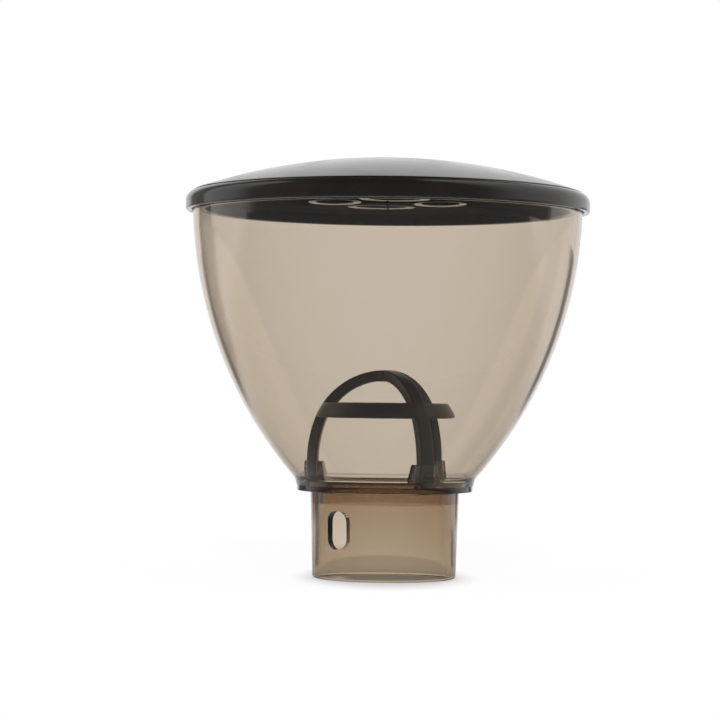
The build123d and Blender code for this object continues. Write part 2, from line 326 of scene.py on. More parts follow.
def divided(section, near=0.2 * MM, far=3.5 * MM, short=2.2 * MM):
    """The section with its long straights divided, finely at their ends, so that shading stays true."""
    out = []
    for i, point in enumerate(section):
        here, there = Vector(point), Vector(section[(i + 1) % len(section)])
        out.append(tuple(here))
        span = (there - here).length
        if span < short:
            continue
        along = (there - here) / span
        count = max(1, round((span - 2 * near) / far))
        for k in range(count + 1):
            out.append(tuple(here + along * (near + (span - 2 * near) * k / count)))
    return out


def outline(width, height, radius, steps=6):
    """A rounded rectangle round the origin."""
    x, y = width / 2, height / 2
    return rounded([(-x, -y, radius), (x, -y, radius), (x, y, radius), (-x, y, radius)], 90 / steps)


def mesh_object(name, points, faces):
    """A linked object that holds this mesh."""
    mesh = bpy.data.meshes.new(name)
    mesh.from_pydata([tuple(p) for p in points], [], list(faces))
    obj = bpy.data.objects.new(name, mesh)
    bpy.context.scene.collection.objects.link(obj)
    return obj


def lofted(name, loops):
    """A closed solid through loops that have the same number of points."""
    count = len(loops[0])
    faces = []
    for i in range(len(loops) - 1):
        for k in range(count):
            j = (k + 1) % count
            faces.append((i * count + k, i * count + j, (i + 1) * count + j, (i + 1) * count + k))
    faces.append(tuple(reversed(range(count))))
    faces.append(tuple(range((len(loops) - 1) * count, len(loops) * count)))
    obj = mesh_object(name, [p for loop in loops for p in loop], faces)
    outwards(obj)
    return obj


def outwards(obj):
    """Turns every closed shell so that its faces point outwards."""
    work = bmesh.new()
    work.from_mesh(obj.data)
    bmesh.ops.remove_doubles(work, verts=work.verts, dist=SAME_POINT)
    bmesh.ops.recalc_face_normals(work, faces=work.faces)
    work.to_mesh(obj.data)
    work.free()


def crisp(obj, limit=CREASE):
    """Smooth shading, with edges sharper than the limit kept sharp."""
    work = bmesh.new()
    work.from_mesh(obj.data)
    for face in work.faces:
        face.smooth = True
    for edge in work.edges:
        edge.smooth = len(edge.link_faces) == 2 and edge.calc_face_angle(0) < radians(limit)
    work.to_mesh(obj.data)
    work.free()


def settled(obj):
    """The object with its modifiers made into its mesh."""
    graph = bpy.context.evaluated_depsgraph_get()
    mesh = bpy.data.meshes.new_from_object(obj.evaluated_get(graph))
    obj.modifiers.clear()
    old = obj.data
    obj.data = mesh
    mesh.name = obj.name
    bpy.data.meshes.remove(old)
    return obj


def joined(obj, other, how="UNION", selfed=False):
    """obj after a boolean with other, which is used up."""
    step = obj.modifiers.new("Joined", "BOOLEAN")
    step.operation = how
    step.solver = "EXACT"
    step.material_mode = "TRANSFER"
    step.use_self = selfed
    step.object = other
    settled(obj)
    bpy.data.objects.remove(other)
    return obj


# Geometry node trees


class Wiring:
    """Adds nodes to a tree, with their settings and links in one call."""

    def __init__(self, tree):
        self.tree = tree

    def add(self, kind, inputs=None, **settings):
        node = self.tree.nodes.new(kind)
        for key, value in settings.items():
            setattr(node, key, value)
        for key, value in (inputs or {}).items():
            socket = node.inputs[key]
            if isinstance(value, bpy.types.NodeSocket):
                self.tree.links.new(value, socket)
            else:
                socket.default_value = value
        return node

    def maths(self, operation, a, b=0.0):
        return self.add("ShaderNodeMath", {0: a, 1: b}, operation=operation).outputs[0]

    def distance(self, place):
        """How far the place is from the origin."""
        return self.add("ShaderNodeVectorMath", {0: place}, operation="LENGTH").outputs["Value"]

    def stretched(self, place, factors):
        """The place with each of its sides times its factor."""
        return self.add("ShaderNodeVectorMath", {0: place, 1: factors}, operation="MULTIPLY").outputs[0]

    def azimuth(self, sides):
        """The turn from the back, in degrees, of a place or direction given by its sides."""
        return self.maths("DEGREES", self.maths("ARCTAN2", sides[0], sides[1]))

    def noise(self, place, scale, detail, **more):
        """Noise of that scale at the place."""
        wanted = {"Vector": place, "Scale": scale, "Detail": detail, **more}
        return self.add("ShaderNodeTexNoise", wanted).outputs[0]

    def tinted(self, part, one, other):
        """One colour with that part of the other."""
        return self.add("ShaderNodeMix", {0: part, 6: one, 7: other}, data_type="RGBA").outputs[2]

    def span(self, value, start, end, low=0.0, high=1.0, kind="LINEAR"):
        """The value brought to low at the start and high at the end, and held there beyond them."""
        limits = {"Value": value, "From Min": start, "From Max": end, "To Min": low, "To Max": high}
        return self.add("ShaderNodeMapRange", limits, interpolation_type=kind).outputs[0]

    def ramp(self, *limits):
        """The same as a soft step."""
        return self.span(*limits, kind="SMOOTHSTEP")

    def band(self, value, start, full, fading, end):
        """One between full and fading, softly falling to nought at the start and the end."""
        return self.maths("MULTIPLY", self.ramp(value, start, full), self.ramp(value, fading, end, 1.0, 0.0))


def new_tree(name, kind, sockets):
    """An empty node group with these sockets, its wiring, its input node and its output node."""
    tree = bpy.data.node_groups.new(name, kind)
    for side, label, socket_kind, default in sockets:
        socket = tree.interface.new_socket(name=label, in_out=side, socket_type=socket_kind)
        if default is not None:
            socket.default_value = default
    wiring = Wiring(tree)
    return tree, wiring, wiring.add("NodeGroupInput"), wiring.add("NodeGroupOutput")


def shared(maker):
    """The node group that bears this function's name, made by it at its first use."""
    name = maker.__name__.replace("_", " ").capitalize()
    return bpy.data.node_groups.get(name) or maker(name)


def finish_tree(wiring, source, geometry, out):
    """Ends a geometry tree with real geometry in its material."""
    real = wiring.add("GeometryNodeRealizeInstances", {"Geometry": geometry})
    wanted = {"Geometry": real.outputs[0], "Material": source.outputs["Finish"]}
    dressed = wiring.add("GeometryNodeSetMaterial", wanted)
    wiring.tree.links.new(dressed.outputs[0], out.inputs[0])


def turned_body(name):
    """Turns a section, given as points in the XZ plane, round the Z axis into a closed body."""
    tree, w, source, out = new_tree(name, "GeometryNodeTree", [
        ("INPUT", "Section", "NodeSocketGeometry", None),
        ("INPUT", "Steps", "NodeSocketInt", 192),
        ("INPUT", "Crease", "NodeSocketFloat", radians(CREASE)),
        ("INPUT", "Finish", "NodeSocketMaterial", None),
        ("OUTPUT", "Body", "NodeSocketGeometry", None),
    ])
    size = w.add("GeometryNodeAttributeDomainSize", {"Geometry": source.outputs["Section"]})
    row = w.maths("ADD", source.outputs["Steps"], 1.0)
    rows = w.maths("ADD", size.outputs["Point Count"], 1.0)
    grid = w.add("GeometryNodeMeshGrid", {"Vertices X": rows, "Vertices Y": row})
    index = w.add("GeometryNodeInputIndex").outputs[0]
    along = w.maths("FLOOR", w.maths("DIVIDE", w.maths("ADD", index, 0.5), row))
    turn = w.maths("SUBTRACT", index, w.maths("MULTIPLY", along, row))
    wrapped = w.maths("FLOORED_MODULO", along, size.outputs["Point Count"])
    position = w.add("GeometryNodeInputPosition").outputs[0]
    sample = w.add(
        "GeometryNodeSampleIndex",
        {"Geometry": source.outputs["Section"], "Value": position, "Index": wrapped},
        data_type="FLOAT_VECTOR",
    )
    angle_step = w.maths("DIVIDE", 2 * pi, source.outputs["Steps"])
    rotated = w.add(
        "ShaderNodeVectorRotate",
        {"Vector": sample.outputs[0], "Angle": w.maths("MULTIPLY", turn, angle_step)},
        rotation_type="Z_AXIS",
    )
    moved = {"Geometry": grid.outputs["Mesh"], "Position": rotated.outputs[0]}
    body = w.add("GeometryNodeSetPosition", moved).outputs[0]
    closed = w.add("GeometryNodeMergeByDistance", {"Geometry": body, "Distance": SAME_SEAM_POINT})
    all_smooth = {"Geometry": closed.outputs[0], "Shade Smooth": True}
    smooth = w.add("GeometryNodeSetShadeSmooth", all_smooth, domain="FACE")
    edge = w.add("GeometryNodeInputMeshEdgeAngle").outputs["Unsigned Angle"]
    sharp = w.add("FunctionNodeCompare", {"A": edge, "B": source.outputs["Crease"]}, operation="GREATER_THAN")
    creased = w.add(
        "GeometryNodeSetShadeSmooth",
        {"Geometry": smooth.outputs[0], "Selection": sharp.outputs[0], "Shade Smooth": False},
        domain="EDGE",
    )
    finish_tree(w, source, creased.outputs[0], out)
    return tree


def finish_ring(w, source, count, turn, out):
    """Ends a geometry tree with so many copies of its piece, each at its own turn round the axis."""
    points = w.add("GeometryNodeMeshLine", {"Count": count, "Offset": (0, 0, 0)})
    turned_z = w.add("ShaderNodeCombineXYZ", {"Z": turn})
    copies = w.add("GeometryNodeInstanceOnPoints", {
        "Points": points.outputs[0], "Instance": source.outputs["Piece"], "Rotation": turned_z.outputs[0],
    })
    finish_tree(w, source, copies.outputs[0], out)


TURNS = ("First turn", "Second turn", "Third turn")


def spaced_ring(name):
    """Repeats a piece round the axis at three given turns."""
    tree, w, source, out = new_tree(name, "GeometryNodeTree", [
        ("INPUT", "Piece", "NodeSocketGeometry", None),
        *(("INPUT", label, "NodeSocketFloat", 0.0) for label in TURNS),
        ("INPUT", "Finish", "NodeSocketMaterial", None),
        ("OUTPUT", "Ring", "NodeSocketGeometry", None),
    ])
    pick = w.add("GeometryNodeIndexSwitch", data_type="FLOAT")
    pick.index_switch_items.new()
    tree.links.new(w.add("GeometryNodeInputIndex").outputs[0], pick.inputs["Index"])
    for slot, label in enumerate(TURNS):
        tree.links.new(source.outputs[label], pick.inputs[str(slot)])
    finish_ring(w, source, len(TURNS), pick.outputs[0], out)
    return tree


def even_ring(name):
    """Repeats a piece evenly round the axis."""
    tree, w, source, out = new_tree(name, "GeometryNodeTree", [
        ("INPUT", "Piece", "NodeSocketGeometry", None),
        ("INPUT", "Count", "NodeSocketInt", 4),
        ("INPUT", "Turn", "NodeSocketFloat", 0.0),
        ("INPUT", "Finish", "NodeSocketMaterial", None),
        ("OUTPUT", "Ring", "NodeSocketGeometry", None),
    ])
    step = w.maths("DIVIDE", 2 * pi, source.outputs["Count"])
    index = w.add("GeometryNodeInputIndex").outputs[0]
    turn = w.maths("ADD", w.maths("MULTIPLY", index, step), source.outputs["Turn"])
    finish_ring(w, source, source.outputs["Count"], turn, out)
    return tree


def grown(obj, maker, values):
    """Runs a geometry node tree on the object and keeps its result as a plain mesh."""
    tree = shared(maker)
    modifier = obj.modifiers.new("Shape", "NODES")
    modifier.node_group = tree
    for item in tree.interface.items_tree:
        if item.item_type == "SOCKET" and item.in_out == "INPUT" and item.name in values:
            modifier[item.identifier] = values[item.name]
    return settled(obj)


def turned(name, section, finish):
    """A closed body of revolution from a closed section of (radius, height) points."""
    obj = mesh_object(name, [(r, 0.0, z) for r, z in section], ())
    grown(obj, turned_body, {"Steps": TURN_STEPS[name], "Finish": finish})
    work = bmesh.new()
    work.from_mesh(obj.data)
    if work.calc_volume(signed=True) < 0:
        bmesh.ops.reverse_faces(work, faces=work.faces)
    work.to_mesh(obj.data)
    work.free()
    return obj


def at_arms(obj, guard, finish):
    """The piece repeated at the guard's three azimuths."""
    turns = dict(zip(TURNS, (guard.azimuth_a, guard.azimuth_b, guard.azimuth_c)))
    return grown(obj, spaced_ring, {**turns, "Finish": finish})


# Shader node groups and materials


def scale_of(w, source, label):
    """The scale of a texture whose marks are as many millimetres wide as that input says."""
    return w.maths("DIVIDE", 1 / MM, source.outputs[label])


def moulded_grain(name):
    """Fine spark-eroded grain of a mould, as a height, with larger soft flow marks."""
    tree, w, source, out = new_tree(name, "ShaderNodeTree", [
        ("INPUT", "Grain size", "NodeSocketFloat", 0.25),
        ("INPUT", "Flow size", "NodeSocketFloat", 30.0),
        ("INPUT", "Flow share", "NodeSocketFloat", 0.3),
        ("OUTPUT", "Height", "NodeSocketFloat", None),
    ])
    place = w.add("ShaderNodeTexCoord").outputs["Object"]
    fine = w.noise(place, scale_of(w, source, "Grain size"), 3.0)
    broad = w.noise(place, scale_of(w, source, "Flow size"), 1.0)
    mixed = w.add("ShaderNodeMix", {0: source.outputs["Flow share"], 2: fine, 3: broad}, data_type="FLOAT")
    tree.links.new(mixed.outputs[0], out.inputs[0])
    return tree


def handling_marks(name):
    """Faint wipes and fingerprints, and the thin scratches in them, as masks from nought to one."""
    patch_fades = (0.42, 0.72)
    scratch_scale, scratch_width = 420.0, 0.012
    tree, w, source, out = new_tree(name, "ShaderNodeTree", [
        ("INPUT", "Patch size", "NodeSocketFloat", 22.0),
        ("INPUT", "Stretch", "NodeSocketFloat", 3.0),
        ("OUTPUT", "Mask", "NodeSocketFloat", None),
        ("OUTPUT", "Scratches", "NodeSocketFloat", None),
    ])
    place = w.add("ShaderNodeTexCoord").outputs["Object"]
    patch = w.noise(place, scale_of(w, source, "Patch size"), 5.0, Roughness=0.6, Distortion=0.8)
    mask = w.span(patch, *patch_fades)
    tree.links.new(mask, out.inputs["Mask"])
    squeeze = w.add("ShaderNodeCombineXYZ", {"X": 1.0, "Y": 1.0, "Z": source.outputs["Stretch"]})
    lines = w.noise(w.stretched(place, squeeze.outputs[0]), scratch_scale, 2.0)
    ridge = w.maths("ABSOLUTE", w.maths("SUBTRACT", lines, 0.5))
    thin = w.span(ridge, 0.0, scratch_width, 1.0, 0.0)
    tree.links.new(w.maths("MULTIPLY", thin, mask), out.inputs["Scratches"])
    return tree


def rubbed_edges(name):
    """Where convex edges are rubbed and carry a painted highlight, as a mask from nought to one."""
    patch_scale, patch_fades = 160.0, (0.4, 0.65)
    tree, w, source, out = new_tree(name, "ShaderNodeTree", [
        ("INPUT", "From", "NodeSocketFloat", 0.53),
        ("INPUT", "To", "NodeSocketFloat", 0.62),
        ("OUTPUT", "Mask", "NodeSocketFloat", None),
    ])
    place = w.add("ShaderNodeTexCoord").outputs["Object"]
    bend = w.add("ShaderNodeNewGeometry").outputs["Pointiness"]
    # Pointiness makes convex edges paler: partly rubbing, partly a painted highlight along them
    edge = w.span(bend, source.outputs["From"], source.outputs["To"])
    patches = w.span(w.noise(place, patch_scale, 4.0), *patch_fades)
    tree.links.new(w.maths("MULTIPLY", edge, patches), out.inputs["Mask"])
    return tree


def effect(w, maker, inputs):
    """What one of the shared shader groups puts out."""
    return w.add("ShaderNodeGroup", inputs, node_tree=shared(maker)).outputs


def worn_gloss(w, gloss, marks, wipe, scratch):
    """The surface's roughness, raised by so much where it is wiped and where it is scratched."""
    rough = w.maths("ADD", gloss, w.maths("MULTIPLY", marks["Mask"], wipe))
    return w.maths("ADD", rough, w.maths("MULTIPLY", marks["Scratches"], scratch))


def new_material(name):
    """An empty material, its wiring and its output node."""
    material = bpy.data.materials.new(name)
    material.use_nodes = True
    material.node_tree.nodes.clear()
    w = Wiring(material.node_tree)
    return material, w, w.add("ShaderNodeOutputMaterial")


def black_plastic(name, body, gloss, grain, depth, shine=0.5):
    """Black moulded plastic with a fine grain, wipes, and rubbed edges that are partly a painted highlight.
    """
    paler, lift = 2.6, 0.012
    rubbed_and_highlit_share, wiped_share = 0.55, 0.12
    material, w, out = new_material(name)
    marks = effect(w, handling_marks, {"Patch size": 26.0, "Stretch": 0.35})
    rubbed_and_highlit = effect(w, rubbed_edges, {"From": 0.52, "To": 0.6})["Mask"]
    bumps = effect(w, moulded_grain, {"Grain size": grain, "Flow size": 45.0, "Flow share": 0.15})["Height"]
    pale = (*(min(1.0, paler * c + lift) for c in body), 1.0)
    # Rubbed edges turn paler, and the same mask paints a highlight along every convex edge
    tone = w.tinted(w.maths("MULTIPLY", rubbed_and_highlit, rubbed_and_highlit_share), (*body, 1.0), pale)
    tone = w.tinted(w.maths("MULTIPLY", marks["Mask"], wiped_share), tone, pale)
    rough = worn_gloss(w, gloss, marks, wipe=0.1, scratch=0.12)
    bump = w.add("ShaderNodeBump", {"Strength": 0.35, "Distance": depth * MM, "Height": bumps})
    shader = w.add("ShaderNodeBsdfPrincipled", {
        "Base Color": tone, "Roughness": rough, "IOR": 1.5, "Specular IOR Level": shine,
        "Normal": bump.outputs[0],
    })
    w.tree.links.new(shader.outputs[0], out.inputs["Surface"])
    return material


def smoked_plastic(name, tint, density, gloss):
    """Smoked clear plastic: a polished surface with faint wipes, round a tinted inside."""
    material, w, out = new_material(name)
    marks = effect(w, handling_marks, {"Patch size": 34.0, "Stretch": 0.3})
    flow = effect(w, moulded_grain, {"Grain size": 6.0, "Flow size": 60.0, "Flow share": 0.8})["Height"]
    rough = worn_gloss(w, gloss, marks, wipe=0.025, scratch=0.05)
    bump = w.add("ShaderNodeBump", {"Strength": 0.1, "Distance": 0.05 * MM, "Height": flow})
    shader = w.add("ShaderNodeBsdfPrincipled", {
        "Base Color": WHITE, "Roughness": rough, "IOR": 1.53, "Transmission Weight": 1.0,
        "Normal": bump.outputs[0],
    })
    inside = w.add("ShaderNodeVolumeAbsorption", {"Color": (*tint, 1.0), "Density": density})
    w.tree.links.new(shader.outputs[0], out.inputs["Surface"])
    w.tree.links.new(inside.outputs[0], out.inputs["Volume"])
    return material


# Shared measures


class Levels:
    """Radii and heights that several pieces share, from the sizes in the scene."""

    def __init__(self, scene):
        neck, bowl, lid, guard = scene.hopper_neck, scene.hopper_bowl, scene.hopper_lid, scene.hopper_guard
        self.neck_top_r = neck.foot_r + neck.flare
        self.neck_bore_r = neck.foot_r - neck.wall
        self.throat_r = self.neck_bore_r - neck.throat_ledge
        self.floor_bore_r = self.throat_r - neck.floor_lip
        self.bowl_foot_r = self.neck_top_r + bowl.overhang
        self.collar_bore_r = self.bowl_foot_r - bowl.collar_wall
        self.bowl_foot_z = neck.height + neck.flange
        self.throat_bottom_z = self.bowl_foot_z - neck.throat_length
        self.floor_z = self.bowl_foot_z + neck.floor
        self.collar_top_z = self.bowl_foot_z + bowl.collar_height
        self.rim_z = self.bowl_foot_z + bowl.height
        inset = bowl.rim_r - self.bowl_foot_r
        drop = self.rim_z - self.collar_top_z
        self.bowl_arc_r = (inset**2 + drop**2) / (2 * inset)
        self.bowl_arc_centre = (bowl.rim_r - self.bowl_arc_r, self.rim_z)
        self.bowl_foot_angle = degrees(asin(drop / self.bowl_arc_r))
        self.ring_r = bowl.rim_r - bowl.wall - lid.ring_gap
        self.ring_bore_r = self.ring_r - lid.ring_wall
        self.liner_top_z = self.rim_z + lid.liner_lift
        self.leg_r = self.collar_bore_r - guard.clearance
        self.arch_r = self.leg_r - guard.splay
        self.blend_r = self.leg_r + guard.blend_reach
        self.leg_foot_z = self.floor_z - guard.leg_depth
        self.guard_top_z = self.floor_z + guard.height
        self.arch_z = self.guard_top_z - self.arch_r


def placed(obj, node):
    """Puts a finished piece on the frame in place of its CAD node."""
    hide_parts(node)
    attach(obj, "root")


# Operators


class HOPPER_OT_bowl(bpy.types.Operator):
    """Turn the smoked bowl from its wall's section"""

    bl_idname = "hopper.bowl"
    bl_label = "Build the bowl"

    def execute(self, context):
        bowl, at, colours = context.scene.hopper_bowl, Levels(context.scene), context.scene.hopper_colours
        inner_r = at.bowl_arc_r - bowl.wall
        inner_angle = degrees(acos((at.collar_bore_r - at.bowl_arc_centre[0]) / inner_r))
        outside = arc(at.bowl_arc_centre, at.bowl_arc_r, -at.bowl_foot_angle, 0, ARC_STEPS["bowl"])
        inside = arc(at.bowl_arc_centre, inner_r, 0, -inner_angle, ARC_STEPS["bowl"])
        foot_z = at.bowl_foot_z + JOINT_LIFT
        section = [(at.bowl_foot_r - bowl.collar_taper, foot_z)]
        section += [(*outside[0], bowl.collar_round), *outside[1:-1], (*outside[-1], bowl.rim_round)]
        section += [(*inside[0], bowl.rim_round), *inside[1:]]
        section += [(at.collar_bore_r, foot_z)]
        finish = smoked_plastic("Smoked bowl", colours.bowl_tint, colours.bowl_depth, gloss=0.004)
        obj = turned("bowl_shell", divided(rounded(section)), finish)
        placed(obj, "bowl")
        return {"FINISHED"}


class HOPPER_OT_lid(bpy.types.Operator):
    """Turn the lid with its dome, skirt and locating ring"""

    bl_idname = "hopper.lid"
    bl_label = "Build the lid"

    def execute(self, context):
        lid, bowl, at = context.scene.hopper_lid, context.scene.hopper_bowl, Levels(context.scene)
        bore_r = bowl.rim_r + lid.skirt_gap
        lid_r = bore_r + lid.wall
        skirt_z = at.rim_z - lid.skirt_depth
        crown_z = at.rim_z + lid.crown_height
        edge_r = lid_r - lid.shoulder_r * (1 - cos(lid.shoulder_angle))
        edge_z = crown_z - lid.dome_rise
        dome_r = (edge_r**2 + lid.dome_rise**2) / (2 * lid.dome_rise)
        dome_centre = (0.0, crown_z - dome_r)
        under_r = dome_r - lid.dome_wall
        ledge_r = at.ring_bore_r - lid.liner_ledge
        edge_angle = degrees(acos(edge_r / dome_r))
        ledge_angle = degrees(acos(ledge_r / under_r))
        shoulder_z = edge_z - lid.step - lid.shoulder_r * sin(lid.shoulder_angle)
        shoulder_centre = (lid_r - lid.shoulder_r, shoulder_z)
        shoulder_turn = degrees(lid.shoulder_angle)
        shoulder = arc(shoulder_centre, lid.shoulder_r, 0, shoulder_turn, ARC_STEPS["shoulder"])
        dome = arc(dome_centre, dome_r, edge_angle, 90, ARC_STEPS["dome"])
        under = arc(dome_centre, under_r, 90, ledge_angle, ARC_STEPS["under"])
        ring_z = at.rim_z - lid.ring_depth
        step_root, step_edge = 0.08 * MM, 0.25 * MM
        section = [(lid_r, skirt_z, lid.lip_round), *shoulder[:-1], (*shoulder[-1], step_root)]
        section += [(*dome[0], step_edge), *dome[1:], *under]
        section += [
            (ledge_r, at.liner_top_z),
            (at.ring_bore_r, at.liner_top_z),
            (at.ring_bore_r, ring_z, lid.ring_round),
            (at.ring_r, ring_z, lid.ring_round),
            (at.ring_r, at.rim_z),
            (bore_r, at.rim_z),
            (bore_r, skirt_z, lid.lip_round),
        ]
        body = context.scene.hopper_colours.lid
        finish = black_plastic("Lid plastic", body, gloss=0.11, grain=0.5, depth=0.02)
        obj = turned("lid_cover", divided(rounded(section, LID_FINEST)), finish)
        placed(obj, "lid")
        return {"FINISHED"}


class HOPPER_OT_liner(bpy.types.Operator):
    """Turn the lid's liner and set its dished pads and gate mark under it"""

    bl_idname = "hopper.liner"
    bl_label = "Build the lid liner"

    def execute(self, context):
        lid, at = context.scene.hopper_lid, Levels(context.scene)
        body = context.scene.hopper_colours.liner
        finish = black_plastic("Liner plastic", body, gloss=0.85, grain=0.5, depth=0.015, shine=0.02)
        polish = black_plastic("Pad plastic", body, gloss=0.1, grain=0.9, depth=0.004)
        top = at.liner_top_z
        bottom = top - lid.liner_thickness
        rim = at.ring_bore_r - lid.liner_gap
        plate = divided([(0.0, bottom), (rim, bottom), (rim, top), (0.0, top)])
        obj = turned("lid_liner_plate", plate, finish)
        obj = joined(obj, self.pads(lid, bottom, polish))
        obj = joined(obj, self.gate(lid, bottom, finish))
        self.matt_dishes(obj, lid, finish)
        crisp(obj)
        placed(obj, "lid_liner")
        return {"FINISHED"}

    def pads(self, lid, bottom, finish):
        """The oval pads, each with its shallow dish."""
        face = bottom - lid.pad_height
        half_height = DISH_BULGE * lid.dish_depth
        reach = sqrt(1 - (1 - lid.dish_depth / half_height) ** 2)
        a, b = lid.pad_radial / 2, lid.pad_tangential / 2
        edge = 0.25 * MM
        rings = [(a, b, bottom + SINK), (a, b, face + edge)]
        for turn in (0.5, 1.0):
            inset = edge * (1 - cos(turn))
            rings.append((a - inset, b - inset, face + edge * (1 - sin(turn))))
        rings += [(a - edge, b - edge, face), (a - lid.pad_rim + edge, b - lid.pad_rim + edge, face)]
        for i in range(DISH_STEPS):
            part = 1 - i / DISH_STEPS
            lift = half_height * (sqrt(1 - (reach * part) ** 2) - 1) + lid.dish_depth
            rings.append(((a - lid.pad_rim) * part, (b - lid.pad_rim) * part, face + lift))
        turns = [2 * pi * k / PAD_CORNERS for k in range(PAD_CORNERS)]
        loops = [[(lid.pad_pitch_r + x * cos(t), y * sin(t), z) for t in turns] for x, y, z in rings]
        obj = lofted("pads", loops)
        return grown(obj, even_ring, {"Count": lid.pad_count, "Turn": lid.pad_turn, "Finish": finish})

    def matt_dishes(self, obj, lid, finish):
        """Gives the inner part of each dish the liner's matt finish, so that only its edge is polished."""
        matt = obj.data.materials.find(finish.name)
        a = (lid.pad_radial / 2 - lid.pad_rim) * POLISHED_FROM
        b = (lid.pad_tangential / 2 - lid.pad_rim) * POLISHED_FROM
        for k in range(lid.pad_count):
            back = Matrix.Rotation(-lid.pad_turn - 2 * pi * k / lid.pad_count, 3, "Z")
            for face in obj.data.polygons:
                place = back @ face.center
                if ((place.x - lid.pad_pitch_r) / a) ** 2 + (place.y / b) ** 2 < 1 and face.normal.z < 0:
                    face.material_index = matt

    def gate(self, lid, bottom, finish):
        """The moulding gate with the short thread of plastic that it left."""
        thread_r, waist_r, tip_r = 0.55 * MM, 0.33 * MM, 0.2475 * MM
        waist, tip, end = 4 * MM, 7.2 * MM, 7.4 * MM
        edge_round, root_round, tip_round = 0.2 * MM, 0.4 * MM, 0.1 * MM
        low = bottom - lid.gate_height
        section = [
            (0.0, bottom + SINK), (lid.gate_r, bottom + SINK), (lid.gate_r, low, edge_round),
            (thread_r, low, root_round), (waist_r, low - waist), (tip_r, low - tip, tip_round),
            (0.0, low - end),
        ]
        return turned("gate", divided(rounded(section)), finish)


class HOPPER_OT_neck_base(bpy.types.Operator):
    """Turn the neck base, join its sockets and cut its slot"""

    bl_idname = "hopper.neck_base"
    bl_label = "Build the neck base"

    def execute(self, context):
        scene = context.scene
        neck, bowl, guard, at = scene.hopper_neck, scene.hopper_bowl, scene.hopper_guard, Levels(scene)
        colours = scene.hopper_colours
        finish = smoked_plastic("Smoked neck", colours.neck_tint, colours.neck_depth, gloss=0.006)
        floor_r = at.collar_bore_r - bowl.joint_gap
        flange_r = at.bowl_foot_r - bowl.collar_taper - neck.flange_step
        section = [
            (at.neck_bore_r, 0.0, neck.bore_round),
            (neck.foot_r, 0.0, neck.foot_round),
            (at.neck_top_r, neck.height, neck.root_round),
            (flange_r, neck.height, neck.flange_round),
            (flange_r, at.bowl_foot_z),
            (floor_r, at.bowl_foot_z),
            (floor_r, at.floor_z),
            (at.floor_bore_r, at.floor_z, neck.floor_round),
            (at.floor_bore_r, at.bowl_foot_z),
            (at.throat_r, at.bowl_foot_z),
            (at.throat_r, at.throat_bottom_z),
            (at.neck_bore_r, at.throat_bottom_z),
        ]
        obj = turned("neck_and_floor", divided(rounded(section)), finish)
        obj = joined(obj, self.sockets(guard, at, finish))
        obj = joined(obj, self.pockets(guard, at, finish), "DIFFERENCE")
        obj = joined(obj, self.windows(guard, at, finish), "DIFFERENCE")
        obj = joined(obj, self.slot(neck, at, finish), "DIFFERENCE")
        crisp(obj)
        placed(obj, "neck_base")
        return {"FINISHED"}

    def sockets(self, guard, at, finish):
        """Three sockets, wider at the foot, sunk a little into the floor."""
        outer = at.leg_r + guard.socket_gap + guard.outer_wall
        inner = at.leg_r - guard.thickness - guard.socket_gap
        sink, corner, edge = 0.4 * MM, 0.6 * MM, 0.35 * MM
        shoulder = 0.3 * edge
        top = guard.socket_height
        levels = ((-sink, 0), (0, 0), (top - edge, 0), (top - shoulder, shoulder), (top, edge))
        loops = []
        for height, inset in levels:
            part = height / top
            near = inner - (guard.inner_foot + (guard.inner_top - guard.inner_foot) * part) + inset
            wide = guard.socket_foot + (guard.socket_top - guard.socket_foot) * part - 2 * inset
            far = outer - inset
            middle = (near + far) / 2
            section = outline(wide, far - near, corner)
            loops.append([(x, y - middle, at.floor_z + height) for x, y in section])
        return at_arms(lofted("sockets", loops), guard, finish)

    def pockets(self, guard, at, finish):
        """What the legs fill in the sockets."""
        near = at.leg_r - guard.thickness - guard.socket_gap
        far = at.leg_r + guard.socket_gap
        section = outline(guard.width + 2 * guard.socket_gap, far - near, guard.arm_round)
        top = at.floor_z + guard.socket_height + CUT_MARGIN
        loops = [[(x, y - (near + far) / 2, z) for x, y in section] for z in (at.leg_foot_z, top)]
        return at_arms(lofted("pockets", loops), guard, finish)

    def windows(self, guard, at, finish):
        """Openings for the snap nibs in the sockets' outer walls."""
        wide = guard.nib_length + 2 * guard.window_gap
        high = 2 * (guard.nib_r + guard.window_gap)
        middle = at.floor_z + guard.nib_z
        corner, inset = 0.4 * MM, 0.5 * MM
        section = outline(wide, high, corner)
        ends = (at.leg_r - inset, at.leg_r + CUT_MARGIN)
        loops = [[(x, -r, z + middle) for x, z in section] for r in ends]
        return at_arms(lofted("windows", loops), guard, finish)

    def slot(self, neck, at, finish):
        """The obround slot's cutter, along its own azimuth."""
        turn = Matrix.Rotation(neck.slot_azimuth, 3, "Z")
        section = outline(neck.slot_width, neck.slot_height, neck.slot_round, SLOT_CORNER_STEPS)
        reach = at.neck_top_r + CUT_MARGIN
        start = 0.3 * reach
        loops = [[turn @ Vector((x, -r, z + neck.slot_z)) for x, z in section] for r in (start, reach)]
        cutter = lofted("slot", loops)
        cutter.data.materials.append(finish)
        return cutter


